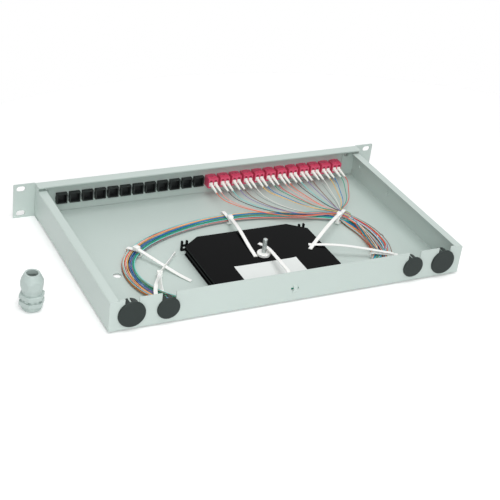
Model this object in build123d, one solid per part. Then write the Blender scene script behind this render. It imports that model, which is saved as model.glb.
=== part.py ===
"""Fibre optic patch panel: a 19 inch panel with a sheet steel tray, a port row, a splice cassette
and a loose cable gland beside it.

Millimetres. The origin is the centre of the four ear slots on the ears' rear face. +Y points into
the tray, +Z up, and +X to the half of the port row that is blanked off.
"""
import os
from math import atan2, cos, degrees, hypot, pi, radians, sin, tan

from build123d import *

# Front panel
panel_width = 482.6
panel_height = 43.6
panel_sheet = 1.5
panel_flange = 13.0
panel_corner = 1.0
ear_width = 25.5
slot_edge_x = 8.75
slot_edge_z = 5.925
slot_length = 10.3
slot_height = 6.8

# Port row
port_count = 24
port_margin = 23.8
port_web = 3.0
port_clearance = 0.1
port_z = -0.9
port_flange_gap = 0.8
port_flange_sheet = 1.2

# Tray
tray_depth = 250.4
tray_sheet = 1.2
tray_wall = 36.9
tray_rear_wall = 38.0
bend_radius = 2.0
lip_width = 10.0
lip_start = 10.8
tab_reach = 19.0
tab_height = 35.0
tab_screw_z = 32.2
tab_screw_inset = 13.8
floor_hole = 9.5
floor_hole_inset = 46.8
floor_hole_y = 152.0
side_hole = 3.0
side_hole_y = 18.5
side_hole_z = 20.6
press_nut = 6.0
press_nut_y = 90.0
press_nut_z = 19.3
lance_x = 1.6
lance_z = 16.4
lance_width = 4.6
lance_height = 9.0
lance_gap = 2.4
lance_rise = 2.2
lance_root = 0.6

# Tab screws
screw_diameter = 3.3
screw_hole = 3.4
screw_head = 5.6
screw_head_height = 1.8
screw_head_round = 0.8
screw_cross = 3.2
screw_cross_slot = 0.7

# Keyhole cable entries and their plugs
keyhole_z = 19.0
keyhole_neck = 15.8
large_hole = 25.5
large_hole_inset = 24.5
small_hole = 20.5
hole_spacing = 40.7
plug_fit = 0.1
plug_cap_margin = 2.6
plug_cap = 2.0
plug_cap_round = 1.2
plug_wall = 1.5
plug_reach = 11.2
plug_slots = 6
plug_slot = 2.6
plug_slot_from = 1.8

# Adapters
adapter_rear = 12.0
adapter_front = 10.5
bore_side_wall = 0.85
bore_between = 1.3
bore_height = 5.6
bore_drop = 1.5
latch_width = 3.2
latch_height = 2.8
bore_depth = 9.6
finger_gap = 0.1
finger_rise = 0.6
finger_run = 3.3
finger_width = 6.0
corner_step = 3.0
corner_step_length = 3.4
corner_step_drop = 0.7

# Dust caps
cap_prong_clearance = 0.12
cap_prong_length = 7.0
cap_grip = 6.5
cap_round = 1.5
cap_bridge = 2.0
cap_waist = 1.0
cap_running_gap = 0.05

# Blanking plugs
blank_rear = 5.0
blank_wall = 1.3
blank_chamfer = 0.4
barb = 0.5
barb_run = 2.5
barb_width = 4.0

# Pigtail connectors
connector_fit = 0.15
connector_front = 3.5
connector_proud = 0.3
boot_length = 17.2
boot_drop = 2.2
boot_root = 4.3
boot_tip = 2.2

# Splice cassette
cassette_width = 158.0
cassette_depth = 112.5
cassette_x = 1.2
cassette_rear_gap = 20.2
chamfer_x = 21.0
chamfer_y = 15.5
cassette_wall = 1.5
rim_step = 1.0
rim_height = 1.3
lower_height = 5.6
upper_height = 5.2
lid_sheet = 1.4
hub_diameter = 14.0
horn_width = 2.0
horn_depth = 3.0
horn_pitch = 6.0
horn_y = 5.5
horn_rise = 1.6
entry_width = 10.0
entry_height = 3.0
entry_level = 3.4
guide_radius = 26.0
guide_sheet = 1.2
guide_x = 42.0
guide_y = 6.0

# Splice sleeves and their holders
sleeve_count = 12
sleeve_diameter = 2.5
sleeve_length = 40.0
sleeve_pitch = 3.1
sleeve_clearance = 0.05
comb_width = 8.0
comb_margin = 1.0
comb_base = 0.5
comb_rib = 2.4
comb_y = 25.5

# Stud and nut
stud_diameter = 5.0
stud_top = 34.3
stud_chamfer = 0.7
stud_collar = 8.0
stud_collar_height = 0.8
stud_clearance = 0.2
nut_diameter = 15.5
nut_height = 3.2
nut_round = 0.8
nut_fit = 0.05

# Cable gland, standing by itself
gland_x = 275.4
gland_y = 182.8
gland_height = 43.0
gland_thread = 20.0
gland_flats = 24.0
gland_nut_from = 5.8
gland_nut_height = 5.6
gland_nut_gap = 0.3
gland_skirt_height = 3.0
gland_skirt_inset = 0.6
gland_collar_height = 4.8
gland_windows = 12
gland_window_width = 2.6
gland_window_height = 2.0
gland_window_depth = 1.2
gland_chamfer = 0.8
gland_neck = 20.6
gland_neck_top = 31.0
gland_bore = 13.2
gland_opening = 12.4
gland_dome_from = 24.5
gland_dome = 24.8
gland_dome_flats = 22.6
gland_dome_foot = 22.2
gland_dome_lead = 5.0
gland_dome_crown = 9.0
gland_dome_top = 19.4
gland_dome_wall = 5.0
gland_shoulder = 3.0
gland_seal_gap = 0.2
gland_fit = 0.06
seal_lip = 1.5
seal_bore = 9.0
seal_height = 9.0
seal_rise = 2.0

# Free bundle of fibres round the cassette
fibre = 0.9
bundle_width = 14.0
bundle_bottom = 3.1
bundle_top = 7.6

# Stations of the bundle's middle line, once round from its neck by the right side. Each gives its
# place as shares of the cassette's half width and half depth from its centre, and the bundle's width
# there as a share of bundle_width.
bundle_stations = [
    (-1.860, -1.000, 1.85), (-1.958, -0.600, 2.25), (-1.977, -0.180, 2.35), (-1.930, 0.240, 2.25),
    (-1.730, 0.790, 1.90), (-1.330, 1.110, 1.45), (-0.780, 1.183, 1.14), (-0.390, 1.183, 1.11),
    (0.460, 1.183, 1.11), (1.170, 1.160, 1.25), (1.630, 0.876, 1.45), (1.884, 0.404, 1.36),
    (1.985, -0.191, 1.21), (1.884, -0.767, 1.18), (1.538, -1.219, 1.18), (1.035, -1.570, 1.14),
    (0.330, -1.785, 1.00), (-0.345, -1.785, 1.00), (-0.900, -1.640, 1.04), (-1.344, -1.471, 1.21),
    (-1.670, -1.300, 1.57),
]

# Neck on the bundle, where the fan of fibres runs into it
neck_place = 20.5
neck_lead = 3.5
neck_width = 21.0
neck_length = 13.0
neck_height = 3.0
neck_pitch = 1.7
neck_row = 1.15

# Fan of fibres: shares of the way from boot to neck, across, along the tray and down
fan_lead = 4.0
fan_lead_share = 0.05
fan_end_share = 0.06
fan_long_span = 110.0
fan_long_shares = [(0.12, 0.29, 0.50), (0.34, 0.62, 0.82), (0.62, 0.84, 0.95)]
fan_short_shares = [(0.20, 0.35, 0.50), (0.52, 0.72, 0.85)]

# Cable ties
tie_width = 4.5
tie_sheet = 1.2
tie_round = 1.5
tie_clearance = 0.3
tie_head_width = 6.6
tie_head_length = 7.0
tie_head_height = 4.6
tie_head_chamfer = 1.0
tie_rest = 0.3

# Each tie: its station place, the loop's width and the head's shift inwards as shares of
# bundle_width, the tail's heading and length, and the tail's rise over its rest at shares of that length
left_tie = (13.5, 1.22, 0.19, 117.6, 80.0, [(0.24, 8.6), (0.48, 4.6), (0.76, 1.0), (1.0, 0.0)])
front_tie = (16.5, 1.50, 0.70, 82.6, 94.0, [(0.2, 2.4), (0.4, 3.0), (0.62, 1.4), (1.0, 0.0)])
neck_tie = (20.5, 1.80, 0.54, 40.6, 102.0, [(0.2, 3.4), (0.45, 3.0), (0.7, 1.2), (1.0, 0.0)])
right_tie = (3.5, 2.32, -1.05, -24.5, 110.0, [(0.2, 1.6), (0.45, 2.6), (0.7, 1.2), (1.0, 0.0)])
rear_tie = (7.5, 1.15, 0.21, -97.2, 80.0, [(0.1, 7.6), (0.22, 14.4), (0.4, 13.6), (0.66, 8.4), (1.0, 5.8)])

# Slack tie: a long loop across the bundle, its head lying inside the ring
slack_tie_place = 10.5
slack_tie_heading = 71.0
slack_tie_reach = 41.0
slack_tie_margin = 2.5
slack_tie_under = 0.4
slack_tie_over = 1.9
slack_tie_round = 2.0
slack_tie_turn = 158.0
slack_tie_tail = 54.0

# Places that follow from the sizes above
tray_base = -(panel_height / 2 - panel_sheet)
front_gap = bend_radius - panel_sheet + 0.1
floor_top = tray_base + tray_sheet
ground = -panel_height / 2
rear_inner = tray_depth - tray_sheet
tray_width = panel_width - 2 * ear_width
side_inner = tray_width / 2 - tray_sheet
slot_spacing_x = panel_width - 2 * slot_edge_x
slot_spacing_z = panel_height - 2 * slot_edge_z
tab_screw_x = tray_width / 2 - tab_screw_inset
floor_hole_x = tray_width / 2 - floor_hole_inset
large_hole_x = tray_width / 2 - large_hole_inset
small_hole_x = large_hole_x - hole_spacing
port_pitch = (tray_width - 2 * port_margin) / port_count
port_body = port_pitch - port_web
port_flange = port_pitch - port_flange_gap
bore_width = (port_body - 2 * bore_side_wall - bore_between) / 2
twin_pitch = bore_width + bore_between
connector_size = bore_width - 2 * connector_fit
port_xs = [port_pitch * (port_count / 2 - 0.5 - index) for index in range(port_count)]
blank_xs = [x for x in port_xs if x > 0]
adapter_xs = [x for x in port_xs if x < 0]
twin_xs = [x + side * twin_pitch / 2 for x in adapter_xs for side in (1, -1)]
bore_z = port_z - bore_drop
connector_rear = adapter_rear + connector_proud
boot_end_y = connector_rear + boot_length
boot_end_z = bore_z - boot_drop
boot_way = Vector(0, boot_length, -boot_drop).normalized()
boot_travel = hypot(boot_length, boot_drop)
lower_z = floor_top
upper_z = lower_z + lower_height
lid_z = upper_z + upper_height
lid_top = lid_z + lid_sheet
cassette_y = rear_inner - cassette_rear_gap - cassette_depth
cassette_mid_y = cassette_y + cassette_depth / 2
stud_x = cassette_x
stud_y = cassette_mid_y
cassette_tilt = degrees(atan2(chamfer_y, chamfer_x))
neck_top = bundle_top + neck_height
seal_outer = gland_bore + 2 * seal_lip


def lift(height):
    """Height over the underside of the tray floor, as a height in the part's frame."""
    return tray_base + height


def save(name, solids):
    """Writes one sub-part, a solid or a group of separate solids."""
    group = list(solids) if isinstance(solids, (list, tuple)) else [solids]
    part = group[0] if len(group) == 1 else Compound(children=group)
    export_step(part, "parts/" + name + ".step")


def block(x0, x1, y0, y1, z0, z1):
    """A box between two corners."""
    box = Box(x1 - x0, y1 - y0, z1 - z0)
    return Pos((x0 + x1) / 2, (y0 + y1) / 2, (z0 + z1) / 2) * box


def along_y(sketch, y0, y1):
    """A sketch drawn with X to the right and Z up, swept from y0 to y1."""
    frame = Plane((0, y0, 0), x_dir=(1, 0, 0), z_dir=(0, -1, 0))
    return extrude(frame * sketch, amount=-(y1 - y0))


def prism(points, z0, z1):
    """An upright prism over a closed outline in plan."""
    face = make_face(Polyline(*points, close=True))
    return extrude(Pos(0, 0, z0) * face, amount=z1 - z0)


def solid_of(shape):
    """The one solid inside a shape."""
    return shape.solids()[0]


def arc_radii(points):
    """One radius for each corner of a route: 0.45 of its shorter run over the tangent of half the turn."""
    radii = []
    for before, corner, after in zip(points, points[1:], points[2:]):
        first = Vector(*corner) - Vector(*before)
        second = Vector(*after) - Vector(*corner)
        turn = radians(first.get_angle(second))
        radii.append(0.45 * min(first.length, second.length) / tan(turn / 2))
    return radii


def smooth_outline(points, z0, z1):
    """An upright solid over a closed outline whose corners are arcs."""
    ring = points + points[:2]
    radii = arc_radii(ring)
    radii = radii[-1:] + radii[:-1]
    wire = FilletPolyline(*points, radius=radii, close=True)
    return extrude(Pos(0, 0, z0) * make_face(wire), amount=z1 - z0)


def station_middle(index):
    """The bundle's middle at one station, counted round and round."""
    share_x, share_y, _ = bundle_stations[index % len(bundle_stations)]
    return Vector(cassette_x + share_x * cassette_width / 2, cassette_mid_y + share_y * cassette_depth / 2, 0)


def station_width(index):
    """The bundle's width at one station."""
    return bundle_width * bundle_stations[index % len(bundle_stations)][2]


def bundle_at(place):
    """The bundle's middle, its way in plan and its width at a place counted in stations."""
    index = int(place)
    share = place - index
    run = station_middle(index + 1) - station_middle(index)
    width = station_width(index) * (1 - share) + station_width(index + 1) * share
    return station_middle(index) + run * share, run.normalized(), width


def inward(way):
    """The side of the bundle's way that faces the ring's middle."""
    return Vector(way.Y, -way.X, 0)


def bundle_edge(side):
    """Outline of the bundle: each station moved by half its width across the line of its neighbours.

    side is 1 for the edge towards the ring's middle and -1 for the outer one.
    """
    edge = []
    for index in range(len(bundle_stations)):
        way = (station_middle(index + 1) - station_middle(index - 1)).normalized()
        point = station_middle(index) + inward(way) * (side * station_width(index) / 2)
        edge.append((point.X, point.Y))
    return edge


def front_panel():
    """Face plate with ears, bent top and bottom flanges, port openings and ear slots."""
    half = panel_height / 2
    outer = make_face(
        Polyline(
            (-panel_sheet, -half),
            (panel_flange, -half),
            (panel_flange, half),
            (-panel_sheet, half),
            close=True,
        )
    )
    front = outer.vertices().group_by(Axis.X)[0]
    outer = fillet(front, bend_radius)
    inner = make_face(
        Polyline(
            (0, panel_sheet - half),
            (panel_flange + 1, panel_sheet - half),
            (panel_flange + 1, half - panel_sheet),
            (0, half - panel_sheet),
            close=True,
        )
    )
    inner = fillet(inner.vertices().group_by(Axis.X)[0], bend_radius - panel_sheet)
    channel = extrude(Plane.YZ * (outer - inner), amount=tray_width / 2, both=True)
    ears = []
    for side in (-1, 1):
        centre = side * (tray_width + ear_width) / 2
        plate = along_y(Pos(centre, 0) * Rectangle(ear_width, panel_height), -panel_sheet, 0)
        outside = plate.edges().filter_by(Axis.Y).group_by(Axis.X)[0 if side < 0 else -1]
        ears.append(fillet(outside, panel_corner))
    slots = Sketch() + [
        Pos(sx * slot_spacing_x / 2, sz * slot_spacing_z / 2) * SlotOverall(slot_length, slot_height)
        for sx in (-1, 1)
        for sz in (-1, 1)
    ]
    opening = port_body + 2 * port_clearance
    ports = Sketch() + [Pos(x, port_z) * Rectangle(opening, opening) for x in port_xs]
    screws = Sketch() + [Pos(side * tab_screw_x, lift(tab_screw_z)) * Circle(screw_hole / 2) for side in (-1, 1)]
    panel = channel + ears
    return solid_of(panel - along_y(slots + ports + screws, -panel_sheet - 1, 1))


def keyholes():
    """The four cable entries as sketches: a round hole with a neck up to the rear wall's top edge."""
    shapes = Sketch()
    for diameter, centre in ((large_hole, large_hole_x), (small_hole, small_hole_x)):
        for side in (-1, 1):
            neck_height = tray_rear_wall - keyhole_z + 1
            neck = Pos(0, neck_height / 2) * Rectangle(keyhole_neck, neck_height)
            shapes += Pos(side * centre, lift(keyhole_z)) * (Circle(diameter / 2) + neck)
    return shapes


def lance():
    """Bridge pressed out of the rear wall, which a tie passes behind from side to side."""
    half = lance_height / 2
    flat = lance_height / 6
    rise = rear_inner + lance_rise
    inside = Polyline((rear_inner, -half), (rise, -flat), (rise, flat), (rear_inner, half))
    outside = Polyline(
        (tray_depth, -half - lance_root),
        (rise + tray_sheet, -flat),
        (rise + tray_sheet, flat),
        (tray_depth, half + lance_root),
    )
    ends = [Line(inside @ 0, outside @ 0), Line(inside @ 1, outside @ 1)]
    profile = make_face([inside, outside] + ends)
    strip = extrude(Plane.YZ * profile, amount=lance_width / 2, both=True)
    return Pos(lance_x, 0, lift(lance_z)) * strip


def tray_body():
    """Folded sheet tray with lips, tabs, keyholes, floor holes, a lance and a press nut."""
    half = tray_width / 2
    outer = block(-half, half, front_gap, tray_depth, tray_base, lift(tray_wall))
    bends = outer.edges().filter_by(Axis.Y)
    bends += outer.edges().filter_by(Axis.X).group_by(Axis.Y)[-1].group_by(Axis.Z)[0]
    outer = fillet(bends, bend_radius)
    inner = block(-side_inner, side_inner, -1, rear_inner, floor_top, lift(tray_wall - tray_sheet))
    inner_bends = inner.edges().filter_by(Axis.Y)
    inner_bends += inner.edges().filter_by(Axis.X).group_by(Axis.Y)[-1].group_by(Axis.Z)[0]
    inner = fillet(inner_bends, bend_radius - tray_sheet)
    mouth = block(lip_width - half, half - lip_width, -1, rear_inner, lift(tray_sheet), lift(tray_wall + 1))
    lip_end = block(-side_inner, side_inner, -1, lip_start, lift(tray_sheet + bend_radius), lift(tray_wall + 1))
    body = outer - inner - mouth - lip_end
    for side in (-1, 1):
        near, far = sorted((side * side_inner, side * half))
        body += block(near, far, front_gap, lip_start, lift(bend_radius), -tray_base)
        near, far = sorted((side * (half - tab_reach), side * (half - tray_sheet / 2)))
        body += block(near, far, 0, tray_sheet, lift(tray_sheet + bend_radius), lift(tab_height))
    crest = half - lip_width
    body += block(-crest, crest, rear_inner, tray_depth, lift(tray_wall - bend_radius), lift(tray_rear_wall))
    body -= along_y(keyholes(), rear_inner - 1, tray_depth + 1)
    window = lance_width / 2 + lance_gap
    gap = block(lance_x - window, lance_x + window, rear_inner - 1, tray_depth + 1,
                lift(lance_z - lance_height / 6), lift(lance_z + lance_height / 6))
    body = body - gap + lance()
    for side in (-1, 1):
        hole = Cylinder(floor_hole / 2, 4 * tray_sheet)
        body -= Pos(side * floor_hole_x, floor_hole_y, floor_top) * hole
        screw = Rot(90, 0, 0) * Cylinder(screw_hole / 2, 4 * tray_sheet)
        body -= Pos(side * tab_screw_x, 0, lift(tab_screw_z)) * screw
    across = Rot(0, 90, 0)
    nut_collar = across * Cylinder(press_nut / 2, tray_sheet + 1.0)
    body += Pos(-half + tray_sheet / 2, press_nut_y, lift(press_nut_z)) * nut_collar
    for y, z in ((press_nut_y, press_nut_z), (side_hole_y, side_hole_z)):
        body -= Pos(-half, y, lift(z)) * across * Cylinder(side_hole / 2, 6 * tray_sheet)
    return solid_of(body)


def tab_screws():
    """Two pan head screws through the tray's tabs into the panel, head inside."""
    screws = []
    for side in (-1, 1):
        length = tray_sheet + panel_sheet
        shank = Pos(0, 0, -length / 2) * Cylinder(screw_diameter / 2, length)
        head = Pos(0, 0, screw_head_height / 2) * Cylinder(screw_head / 2, screw_head_height)
        head = fillet(head.edges().group_by(Axis.Z)[-1], screw_head_round)
        bar = Box(screw_cross, screw_cross_slot, screw_head_height)
        cross = Pos(0, 0, screw_head_height) * (bar + Rot(0, 0, 90) * bar)
        place = Pos(side * tab_screw_x, tray_sheet, lift(tab_screw_z)) * Rot(-90, 0, 0)
        screws.append(solid_of(place * (shank + head - cross)))
    return screws


def hole_plug(diameter, centre):
    """Snap-in plug: a domed cap outside and a ring of slotted fingers through the hole."""
    outer = diameter / 2 - plug_fit
    cap = Pos(0, 0, plug_cap / 2) * Cylinder(diameter / 2 + plug_cap_margin, plug_cap)
    cap = fillet(cap.edges().group_by(Axis.Z)[-1], plug_cap_round)
    tube = Pos(0, 0, -plug_reach / 2) * (Cylinder(outer, plug_reach) - Cylinder(outer - plug_wall, plug_reach))
    slot_length = plug_reach - plug_slot_from
    slots = Part()
    for index in range(plug_slots // 2):
        slots += Rot(0, 0, 360 / plug_slots * index) * Box(plug_slot, diameter, slot_length)
    slots = Pos(0, 0, slot_length / 2 - plug_reach) * slots
    place = Pos(centre, tray_depth, lift(keyhole_z)) * Rot(-90, 0, 0)
    return solid_of(place * (cap + (tube - slots)))


def twin_bores(y0, y1):
    """The two bores of one duplex port, from y0 to y1: each is square with a latch slot over it."""
    shapes = Sketch()
    for side in (-1, 1):
        bore = Rectangle(bore_width, bore_height)
        latch_top = bore_height / 2 + latch_height
        latch = Pos(0, latch_top / 2) * Rectangle(latch_width, latch_top)
        shapes += Pos(side * twin_pitch / 2, bore_z) * (bore + latch)
    return along_y(shapes, y0, y1)


def adapter(x):
    """Duplex adapter: square body through the panel, front flange, snap fingers and four bores."""
    front = -panel_sheet - port_flange_sheet
    half = port_body / 2
    edge = port_flange / 2
    top = port_z + half
    body = block(-half, half, front - adapter_front, adapter_rear, port_z - half, top)
    body += block(-edge, edge, front, -panel_sheet, port_z - edge, port_z + edge)
    wedge = Polyline((finger_gap, half), (finger_gap + finger_run, half), (finger_gap, half + finger_rise), close=True)
    wedge = Pos(0, 0, port_z) * extrude(Plane.YZ * make_face(wedge), amount=finger_width / 2, both=True)
    under = Pos(0, 0, 2 * port_z) * mirror(wedge, Plane.XY)
    step = block(-half, half - corner_step, adapter_rear - corner_step_length, adapter_rear,
                 top - corner_step_drop, top)
    body = body + wedge + under - step
    body -= twin_bores(adapter_rear - bore_depth, adapter_rear + 1)
    body -= twin_bores(front - adapter_front - 1, front - adapter_front + bore_depth)
    return solid_of(Pos(x, 0, 0) * body)


def dust_cap(x):
    """Duplex dust cap: two prongs in the front bores and a waisted grip outside."""
    face = -panel_sheet - port_flange_sheet - adapter_front - cap_running_gap
    prongs = Sketch()
    for side in (-1, 1):
        size = (bore_width - 2 * cap_prong_clearance, bore_height - 2 * cap_prong_clearance)
        prongs += Pos(side * twin_pitch / 2, bore_z) * Rectangle(*size)
    cap = along_y(prongs, face, face + cap_prong_length)
    half_width = (twin_pitch + bore_width) / 2
    half_height = bore_height / 2
    grip = block(-half_width, half_width, face - cap_grip, face, bore_z - half_height, bore_z + half_height)
    grip = fillet(grip.edges().filter_by(Axis.Z).group_by(Axis.Y)[0], cap_round)
    waist = block(-twin_pitch / 4, twin_pitch / 4, face - cap_grip - 1, face - cap_bridge,
                  bore_z + half_height - cap_waist, bore_z + half_height + 1)
    return solid_of(Pos(x, 0, 0) * (cap + grip - waist))


def blanking_plug(x):
    """Hollow square plug: closed flange in front, open at the rear, snap barbs behind the panel."""
    half = port_body / 2
    front = -panel_sheet - port_flange_sheet
    plug = block(-half, half, -panel_sheet, blank_rear, port_z - half, port_z + half)
    hollow = half - blank_wall
    plug -= block(-hollow, hollow, -panel_sheet, blank_rear + 1, port_z - hollow, port_z + hollow)
    edge = port_flange / 2
    flange = block(-edge, edge, front, -panel_sheet, port_z - edge, port_z + edge)
    flange = chamfer(flange.faces().sort_by(Axis.Y)[0].edges(), blank_chamfer)
    root = half - blank_wall / 2
    wedge = Polyline((root, finger_gap), (half + barb, finger_gap), (half, finger_gap + barb_run),
                     (root, finger_gap + barb_run), close=True)
    wedge = Pos(0, 0, port_z) * extrude(make_face(wedge), amount=barb_width / 2, both=True)
    return solid_of(Pos(x, 0, 0) * (plug + flange + wedge + mirror(wedge, Plane.YZ)))


def pigtail_connector(x):
    """Plug body in the adapter's rear bore with a strain relief boot that droops under the fibre."""
    half = connector_size / 2
    body = block(-half, half, connector_front, connector_rear, -half, half)
    root = Plane((0, connector_rear, 0), x_dir=(1, 0, 0), z_dir=boot_way)
    tip = root.offset(boot_travel)
    boot = loft([root.offset(-connector_proud) * Circle(boot_root / 2), tip * Circle(boot_tip / 2)])
    return solid_of(Pos(x, 0, bore_z) * (body + boot))


def cassette_outline(inset):
    """Plan of the cassette: a rectangle with cut corners, drawn in by an inset."""
    half_x = cassette_width / 2 - inset
    half_y = cassette_depth / 2 - inset
    cut_x = chamfer_x - inset * 0.5
    cut_y = chamfer_y - inset * 0.5
    corners = []
    for sx, sy, first in ((1, -1, 0), (1, 1, 1), (-1, 1, 0), (-1, -1, 1)):
        on_y = (sx * (half_x - cut_x), sy * half_y)
        on_x = (sx * half_x, sy * (half_y - cut_y))
        corners += [on_x, on_y] if first else [on_y, on_x]
    return [(cassette_x + x, cassette_mid_y + y) for x, y in corners]


def corner_horns(z0, z1):
    """Two upright fingers off each front corner, on a tongue of the floor, which guide the fibre in."""
    y0 = cassette_y + horn_y - horn_depth / 2
    y1 = cassette_y + horn_y + horn_depth / 2
    horns = []
    for side in (-1, 1):
        edge = cassette_x + side * (cassette_width / 2 + horn_width / 2)
        root = cassette_x + side * (cassette_width / 2 - chamfer_x)
        horns.append(block(min(edge, root), max(edge, root), y0, y1, z0, z0 + cassette_wall))
        for step in (0, 1):
            middle = cassette_x + side * (cassette_width / 2 - step * horn_pitch)
            horns.append(block(middle - horn_width / 2, middle + horn_width / 2, y0, y1, z0, z1))
    return horns


def cassette_entry(z0):
    """Cut through the wall at the rear right corner, where the fibres enter one tray."""
    x = cassette_x - (cassette_width - chamfer_x) / 2
    y = cassette_y + cassette_depth - chamfer_y / 2
    depth = 2 * (rim_step + 2 * cassette_wall)
    return Pos(x, y, z0 + entry_level) * Rot(0, 0, cassette_tilt) * Box(entry_width, depth, entry_height)


def cassette_tray(z0, height, horn_top, with_counterbore):
    """One cassette tray: rim, inset wall, hub for the stud, two round guides, corner fingers, an entry."""
    z1 = z0 + height
    floor = z0 + cassette_wall
    tray = prism(cassette_outline(0), z0, z0 + rim_height) + prism(cassette_outline(rim_step), z0, z1)
    tray -= prism(cassette_outline(rim_step + cassette_wall), floor, z1 + 1)
    tray += Pos(stud_x, stud_y, (z0 + z1) / 2) * Cylinder(hub_diameter / 2, height)
    for side in (-1, 1):
        ring = Cylinder(guide_radius, height) - Cylinder(guide_radius - guide_sheet, height)
        ring -= Box(2 * guide_radius, guide_radius, height)
        tray += Pos(cassette_x + side * guide_x, cassette_mid_y + guide_y, (z0 + z1) / 2) * ring
    tray += corner_horns(z0, horn_top)
    tray -= cassette_entry(z0)
    tray -= Pos(stud_x, stud_y, z0) * Cylinder(stud_diameter / 2 + stud_clearance, 4 * height)
    if with_counterbore:
        seat = Cylinder(stud_collar / 2 + stud_clearance, 2 * (stud_collar_height + stud_clearance))
        tray -= Pos(stud_x, stud_y, z0) * seat
    return solid_of(tray)


def cassette_lid():
    """Flat lid with a bore for the stud."""
    lid = prism(cassette_outline(0), lid_z, lid_top)
    bore = Cylinder(stud_diameter / 2 + stud_clearance, 10 * lid_sheet)
    return solid_of(lid - Pos(stud_x, stud_y, lid_z) * bore)


def sleeve_xs():
    """Places of the splice sleeves across one holder."""
    return [cassette_x + sleeve_pitch * (index - (sleeve_count - 1) / 2) for index in range(sleeve_count)]


def splice_holder(floor):
    """Comb that grips the splice sleeves side by side."""
    y = cassette_y + comb_y
    width = sleeve_pitch * sleeve_count + 2 * comb_margin
    comb = block(cassette_x - width / 2, cassette_x + width / 2, y - comb_width / 2, y + comb_width / 2,
                 floor, floor + comb_base)
    rib = (sleeve_pitch - sleeve_diameter) / 2 - sleeve_clearance
    for index in range(sleeve_count + 1):
        x = cassette_x + sleeve_pitch * (index - sleeve_count / 2)
        comb += block(x - rib, x + rib, y - comb_width / 2, y + comb_width / 2, floor, floor + comb_base + comb_rib)
    return solid_of(comb)


def splice_sleeves(floor):
    """Heat-shrunk splice sleeves lying in one holder."""
    y = cassette_y + comb_y
    z = floor + comb_base + sleeve_diameter / 2
    sleeve = Rot(90, 0, 0) * Cylinder(sleeve_diameter / 2, sleeve_length)
    return [solid_of(Pos(x, y, z) * sleeve) for x in sleeve_xs()]


def cassette_stud():
    """Weld stud on the tray floor with a small collar."""
    length = lift(stud_top) - floor_top
    stud = Pos(0, 0, length / 2) * Cylinder(stud_diameter / 2, length)
    stud = chamfer(stud.edges().group_by(Axis.Z)[-1], stud_chamfer)
    collar = Pos(0, 0, stud_collar_height / 2) * Cylinder(stud_collar / 2, stud_collar_height)
    return solid_of(Pos(stud_x, stud_y, floor_top) * (stud + collar))


def stud_nut():
    """Round nylon nut with a rounded top edge, on the stud over the lid."""
    nut = Pos(0, 0, nut_height / 2) * Cylinder(nut_diameter / 2, nut_height)
    nut = fillet(nut.edges().group_by(Axis.Z)[-1], nut_round)
    nut -= Cylinder(stud_diameter / 2 + nut_fit, 4 * nut_height)
    return solid_of(Pos(stud_x, stud_y, lid_top) * nut)


def hexagon(flats, z0, z1):
    """Hexagonal bar between two heights."""
    face = RegularPolygon(radius=flats / 2, side_count=6, major_radius=False)
    return extrude(Pos(0, 0, z0) * face, amount=z1 - z0)


def at_gland(shape):
    """Puts a gland piece, drawn on the Z axis from height 0, in its place on the ground."""
    return solid_of(Pos(gland_x, gland_y, ground) * shape)


def rod(diameter, z0, z1):
    """Upright round bar between two heights."""
    return Pos(0, 0, (z0 + z1) / 2) * Cylinder(diameter / 2, z1 - z0)


def gland_body():
    """Thread, hexagon collar over a skirt with windows, and a neck that takes the dome nut."""
    skirt_from = gland_nut_from + gland_nut_height + gland_nut_gap
    collar_from = skirt_from + gland_skirt_height
    collar_to = collar_from + gland_collar_height
    collar = hexagon(gland_flats, collar_from, collar_to)
    collar = chamfer(collar.faces().sort_by(Axis.Z)[-1].edges(), gland_chamfer)
    skirt = rod(gland_flats - gland_skirt_inset, skirt_from, collar_from)
    for index in range(gland_windows):
        window = Box(2 * gland_window_depth, gland_window_width, gland_window_height)
        window = Pos(gland_flats / 2, 0, (skirt_from + collar_from) / 2) * window
        skirt -= Rot(0, 0, 360 / gland_windows * index) * window
    thread = rod(gland_thread, 0, skirt_from)
    thread = chamfer(thread.edges().group_by(Axis.Z)[0], gland_chamfer)
    body = thread + skirt + collar + rod(gland_neck, collar_to, gland_neck_top)
    body -= rod(gland_bore, -1, gland_neck_top - seal_height)
    body -= rod(seal_outer + gland_seal_gap, gland_neck_top - seal_height, gland_neck_top + 1)
    return at_gland(body)


def gland_lock_nut():
    """Thin hexagon nut on the thread under the collar."""
    nut = hexagon(gland_flats, gland_nut_from, gland_nut_from + gland_nut_height)
    nut = chamfer(nut.faces().sort_by(Axis.Z)[0].edges(), gland_chamfer)
    nut -= rod(gland_thread + 2 * gland_fit, 0, gland_height)
    return at_gland(nut)


def gland_dome_nut():
    """Cap nut that squeezes the seal: barrel with flats, tapered foot, domed top with a round opening."""
    top = gland_height
    low = gland_dome_from
    line = Polyline(
        (0, low),
        (gland_dome_foot / 2, low),
        (gland_dome / 2, low + gland_dome_lead),
        (gland_dome / 2, top - gland_dome_crown),
        (gland_dome_top / 2, top - gland_shoulder),
        ((gland_dome_top - gland_shoulder) / 2, top),
        (0, top),
        close=True,
    )
    nut = revolve(Plane.XZ * make_face(line), Axis.Z)
    nut = nut & hexagon(gland_dome_flats, low - 1, top + 1)
    nut -= rod(gland_neck + 2 * gland_fit, low - 1, gland_neck_top + gland_fit)
    hollow = gland_height - gland_dome_wall
    nut -= rod(seal_outer + 2 * gland_seal_gap, gland_neck_top, hollow)
    nut -= rod(gland_opening, hollow - 1, top + 1)
    return at_gland(nut)


def gland_seal():
    """Rubber ring seal in the neck, through which the cable passes."""
    z0 = gland_neck_top - seal_height
    seal = rod(seal_outer, z0, gland_neck_top + seal_rise)
    seal -= rod(seal_bore, z0 - 1, gland_neck_top + seal_rise + 1)
    return at_gland(seal)


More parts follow.
